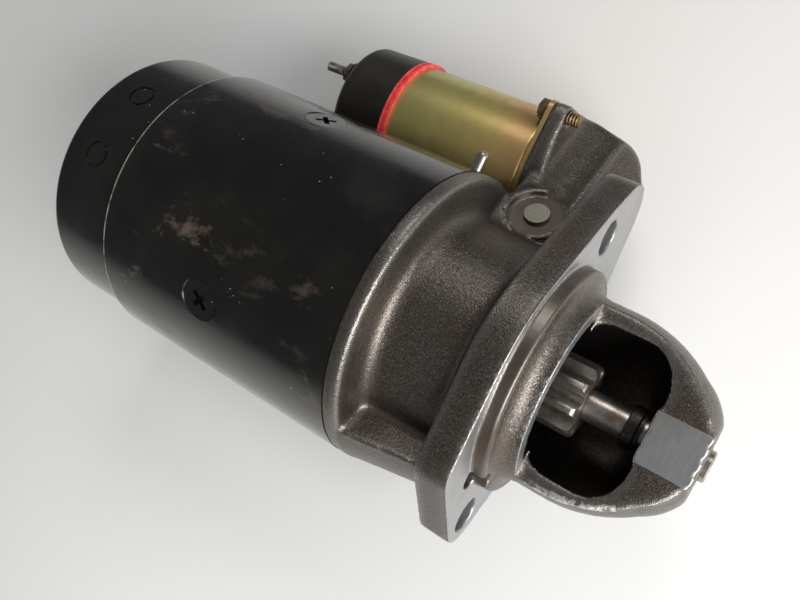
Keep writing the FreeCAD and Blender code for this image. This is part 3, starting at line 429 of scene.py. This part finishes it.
def applied(piece):
    """The piece's mesh with its modifiers worked in."""
    return bpy.data.meshes.new_from_object(piece.evaluated_get(bpy.context.evaluated_depsgraph_get()))


def smooth(mesh, degrees=35):
    """Smooth shading, with edges sharper than an angle kept crisp."""
    mesh.polygons.foreach_set("use_smooth", [True] * len(mesh.polygons))
    mesh.set_sharp_from_angle(angle=math.radians(degrees))


def dress_frame():
    """The CAD nodes that are shown as they are."""
    for name, nodes in NODE_MATERIALS.items():
        for node in nodes:
            dress(NODES[node], name)
            smooth(NODES[node].data)


def helix(name, node, turns, wire):
    """A coil of wire in the place of a CAD sleeve."""
    low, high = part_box(node)
    middle = (low + high) / 2
    radius = (high.y - low.y) / 2 - wire
    length = high.x - low.x - 2 * wire
    steps = turns * STEPS_PER_TURN
    points = []
    faces = []
    for step in range(steps + 1):
        angle = 2 * math.pi * turns * step / steps
        outward = Vector((0, math.cos(angle), math.sin(angle)))
        centre = Vector((low.x + wire + length * step / steps, middle.y, middle.z)) + radius * outward
        for side in range(WIRE_SIDES):
            tilt = 2 * math.pi * side / WIRE_SIDES
            points.append(centre + wire * (math.cos(tilt) * outward + math.sin(tilt) * ALONG))
    for step in range(steps):
        for side in range(WIRE_SIDES):
            a = step * WIRE_SIDES + side
            b = step * WIRE_SIDES + (side + 1) % WIRE_SIDES
            faces.append((a, a + WIRE_SIDES, b + WIRE_SIDES, b))
    faces.append(tuple(range(WIRE_SIDES)))
    faces.append(tuple(reversed(range(steps * WIRE_SIDES, (steps + 1) * WIRE_SIDES))))
    mesh = bpy.data.meshes.new(name)
    mesh.from_pydata([tuple(p) for p in points], [], faces)
    smooth(mesh, 60)
    return add(name, mesh, "clean")


def springs():
    """The three coil springs."""
    for node, turns, wire, mover, keep in SPRINGS:
        coil = helix(node + "_coil", node, turns, wire)
        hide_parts(node)
        if keep is None:
            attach(coil, mover)
        else:
            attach(coil, "root")
            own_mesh(coil)


def brush_springs():
    """Each spring's finger, a finely cut copy of its CAD piece, put in the piece's place."""
    for number in range(1, 5):
        node = "brush_spring_%d" % number
        finger = add(node + "_finger", NODES[node].data.copy(), "clean")
        smooth(finger.data)
        shape = bmesh.new()
        shape.from_mesh(finger.data)
        bmesh.ops.subdivide_edges(shape, edges=shape.edges, cuts=FINGER_CUTS, use_grid_fill=True)
        shape.to_mesh(finger.data)
        shape.free()
        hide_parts(node)
        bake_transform(finger)


# ---------------------------------------------------------------- the sand casting
VOXEL = 0.8 * MM
ROUNDING_STEPS = 26
EDGE_ROUNDING = 0.2        # convex edges lose less than hollow corners gain
UNDULATION = 0.05 * MM
LONG_WAVES = 170           # a metre
SHORT_WAVES = 420
FULL_RIDGE = 0.35 * MM     # rounding that counts as a full ridge or hollow
FULL_HOLLOW = 0.5 * MM

# Sizes on the casting in mm. They place its worked faces, and the rules below add small margins to them.
PILOT_R = 42.0
PILOT_LIP_R = 40.6
PILOT_LONG = 5.0
RECESS_R = 10.8            # the spot face around the pivot pin
RECESS_LEVEL = 20.5
CAVITY_R = 34.0
CAVITY_FRONT = -13.0
RIM_REAR = -49.1
NOSE_BORE_R = 8.0
EAR_REACH = 53.975
EAR_HOLE_R = 6.65
FLANGE_REAR = -12.5
WINDOW_REAR = 12.0
RELIEF_FRONT = 18.4        # the ring gear's sweep, cut a little below the window's face
RELIEF_LEVEL = 12.6
GEAR_ACROSS = 360.0
PAD_REAR = 41.0
PAD_HALF = 9.1
PAD_LEVEL = 14.05
NOSE_R = 34.6
NOSE_STRAIGHT = 20.0       # the nose tapers in front of this
NOSE_TAPER = 0.0108
GROUND_REAR = 14.0
GROUND_FRONT = 44.0
GROUND_LEVEL = 13.0
GROUND_WIDTH = 1.6


def casting_place(point):
    """A point seen square to the ears: along the shaft, along the ears, and up from the window face."""
    c, s = math.cos(CASTING_CLOCK), math.sin(CASTING_CLOCK)
    return point.x / MM, (point.y * c + point.z * s) / MM, (point.z * c - point.y * s) / MM


def finish_at(point, normal):
    """How a place on the casting was worked: 0 as cast, 1 milled or drilled, 0.5 turned and stained."""
    x, along, up = casting_place(point)
    radius = math.hypot(along, up)
    faces_front = normal.x > 0.95
    offset = point - PIVOT
    from_pin = math.hypot(offset.x, offset.dot(REACH)) / MM
    pilot = -0.01 < x < PILOT_LONG + 0.05 and PILOT_LIP_R - 0.1 < radius < PILOT_R + 0.02
    beside_pin = from_pin < RECESS_R + 0.05 and abs(offset.dot(ACROSS)) / MM > RECESS_LEVEL - 0.1
    cavity = radius < CAVITY_R + 0.1 and x < CAVITY_FRONT
    if pilot or beside_pin or cavity or x < RIM_REAR + 0.2 or radius < NOSE_BORE_R + 0.1:
        return 0.5
    flange_face = faces_front and abs(x) < 0.05
    relief = abs(up - RELIEF_LEVEL - along ** 2 / GEAR_ACROSS) < 0.06
    by_window = WINDOW_REAR - 0.1 < x < RELIEF_FRONT + 0.2 and up > RELIEF_LEVEL - 0.2
    pad = x > PAD_REAR and abs(along) < PAD_HALF + 0.05 and up > PAD_LEVEL
    ear_hole = x > FLANGE_REAR - 0.1 and math.hypot(abs(along) - EAR_REACH, up) < EAR_HOLE_R + 0.05
    milled = flange_face or by_window and (faces_front or relief) or pad or ear_hole
    return 1.0 if milled else 0.0


def ground_edge(point):
    """The lower rim of the window, where the casting was fettled by hand."""
    x, along, up = casting_place(point)
    outer = NOSE_R - NOSE_TAPER * max(x - NOSE_STRAIGHT, 0) ** 2
    on_rim = GROUND_REAR < x < GROUND_FRONT and along < 0 and up > GROUND_LEVEL
    return on_rim and math.hypot(along, up) > outer - GROUND_WIDTH


def relax(points, edges, free, steps):
    """Laplacian smoothing of the free points."""
    counts = np.bincount(edges.ravel(), minlength=len(points))[:, None]
    start, end = edges[:, 0], edges[:, 1]
    for _ in range(steps):
        total = np.zeros_like(points)
        for axis in range(3):
            total[:, axis] = (np.bincount(start, points[end, axis], len(points))
                              + np.bincount(end, points[start, axis], len(points)))
        points = np.where(free, points + 0.5 * (total / counts - points), points)
    return points


def read(collection, key, width):
    """An array of one value, or one row of values, for each element."""
    values = np.empty(len(collection) * width, dtype=np.float32 if key != "vertices" else np.int32)
    collection.foreach_get(key, values)
    return values.reshape(-1, width)


def point_attribute(mesh, name, values):
    mesh.attributes.new(name, "FLOAT", "POINT").data.foreach_set("value", values.astype(np.float32))


def drive_casting():
    """The drive housing with the soft corners of a sand casting round crisp machined faces."""
    source = NODES["drive_housing"]
    piece = add("drive_casting", source.data.copy(), "cast")
    remesh = piece.modifiers.new("voxels", "REMESH")
    remesh.mode = "VOXEL"
    remesh.voxel_size = VOXEL
    mesh = applied(piece)
    piece.modifiers.clear()
    piece.data = mesh
    dress(piece, "cast")

    surface = BVHTree.FromPolygons([v.co for v in source.data.vertices],
                                   [tuple(p.vertices) for p in source.data.polygons])
    points = read(mesh.vertices, "co", 3).astype(np.float64)
    edges = read(mesh.edges, "vertices", 2)
    finish = np.zeros(len(points))
    for index, vertex in enumerate(mesh.vertices):
        place, normal, _, _ = surface.find_nearest(vertex.co)
        finish[index] = finish_at(place, normal)
        if finish[index]:
            points[index] = place
    free = (finish == 0)[:, None]
    smoothed = relax(points, edges, free, ROUNDING_STEPS)
    mesh.vertices.foreach_set("co", smoothed.ravel().astype(np.float32))
    mesh.update()
    normals = read(mesh.vertices, "normal", 3)
    rise = ((smoothed - points) * normals).sum(1)
    keep = np.where(rise < 0, EDGE_ROUNDING, 1.0)[:, None]
    result = points + (smoothed - points) * keep
    result = relax(result, edges, free, 2)
    waves = np.array([noise.noise(Vector(p) * LONG_WAVES) + 0.5 * noise.noise(Vector(p) * SHORT_WAVES)
                      for p in result])
    result += np.where(free, normals * waves[:, None] * UNDULATION, 0)
    mesh.vertices.foreach_set("co", result.ravel().astype(np.float32))
    point_attribute(mesh, "machined", finish > 0)
    point_attribute(mesh, "stained", finish == 0.5)
    point_attribute(mesh, "ridge", np.clip(-rise / FULL_RIDGE, 0, 1))
    point_attribute(mesh, "hollow", np.clip(rise / FULL_HOLLOW, 0, 1))
    point_attribute(mesh, "ground", np.array([ground_edge(Vector(p)) for p in result]))
    mesh.polygons.foreach_set("use_smooth", [True] * len(mesh.polygons))
    mesh.update()
    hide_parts("drive_housing")
    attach(piece, "root")


# ---------------------------------------------------------------- camera, floor and light
FLOOR_LEVEL = CAD_BOX[0][2]
CAMERA_AT = (0.0633, -0.0388, 0.2657)
CAMERA_TURN = (19.86, 17.20, 32.46)     # degrees about X, Y and Z
CAMERA_LENS = 35.1
FLOOR_HALF = 3.0
BRIGHT_SIDE = (0.88, 0.0, 0.05)
ROOM_DIM = 0.13
ROOM_BRIGHT = 0.9


def camera():
    data = bpy.data.cameras.new("camera")
    data.lens = CAMERA_LENS
    data.sensor_width = 36
    data.clip_start = 0.01
    made = bpy.data.objects.new("camera", data)
    made.location = CAMERA_AT
    made.rotation_euler = [math.radians(angle) for angle in CAMERA_TURN]
    bpy.context.scene.collection.objects.link(made)
    bpy.context.scene.camera = made


def floor():
    mesh = bpy.data.meshes.new("floor")
    signs = ((-1, -1), (1, -1), (1, 1), (-1, 1))
    corners = [(x * FLOOR_HALF, y * FLOOR_HALF, FLOOR_LEVEL) for x, y in signs]
    mesh.from_pydata(corners, [], [(0, 1, 2, 3)])
    made = bpy.data.objects.new("floor", mesh)
    bpy.context.scene.collection.objects.link(made)
    s = Surface("floor", srgb(0.93, 0.925, 0.91), 0.75)
    cloud = s.grain(3, 2, 0.5)
    s.set("Base Color", s.ramp(cloud, (0.3, srgb(0.90, 0.89, 0.87)), (0.7, srgb(0.915, 0.915, 0.91))))
    mesh.materials.append(s.material)


def area_light(name, at, aim, size, watts, colour):
    data = bpy.data.lights.new(name, "AREA")
    data.shape = "RECTANGLE"
    data.size, data.size_y = size
    data.energy = watts
    data.color = colour
    made = bpy.data.objects.new(name, data)
    made.location = at
    made.rotation_euler = (Vector(aim) - Vector(at)).to_track_quat("-Z", "Y").to_euler()
    bpy.context.scene.collection.objects.link(made)


def lights():
    """A dim room with a bright side towards +X, and three soft lights."""
    world = bpy.data.worlds.new("room")
    world.use_nodes = True
    tree = world.node_tree
    direction = tree.nodes.new("ShaderNodeTexCoord").outputs["Generated"]
    dot = tree.nodes.new("ShaderNodeVectorMath")
    dot.operation = "DOT_PRODUCT"
    dot.inputs[1].default_value = BRIGHT_SIDE
    tree.links.new(direction, dot.inputs[0])
    span = tree.nodes.new("ShaderNodeMapRange")
    span.inputs["From Min"].default_value = 0.0
    span.inputs["To Min"].default_value = ROOM_DIM
    span.inputs["To Max"].default_value = ROOM_BRIGHT
    tree.links.new(dot.outputs["Value"], span.inputs["Value"])
    background = tree.nodes["Background"]
    background.inputs["Color"].default_value = (0.96, 0.98, 1.0, 1)
    tree.links.new(span.outputs["Result"], background.inputs["Strength"])
    bpy.context.scene.world = world
    area_light("window", (0.72, -0.22, 0.42), (0.03, 0, 0), (0.7, 0.45), 11, (1.0, 1.0, 1.0))
    area_light("far side", (-0.15, 0.7, 0.8), (-0.05, 0, 0), (0.5, 0.35), 2.3, (1.0, 0.99, 0.97))
    area_light("near side", (0.45, -0.6, 0.35), (0.05, 0, 0), (0.4, 0.3), 1.5, (1.0, 1.0, 1.0))
    bpy.context.scene.view_settings.view_transform = "Standard"


camera()
floor()
lights()
dress_frame()
springs()
brush_springs()
drive_casting()
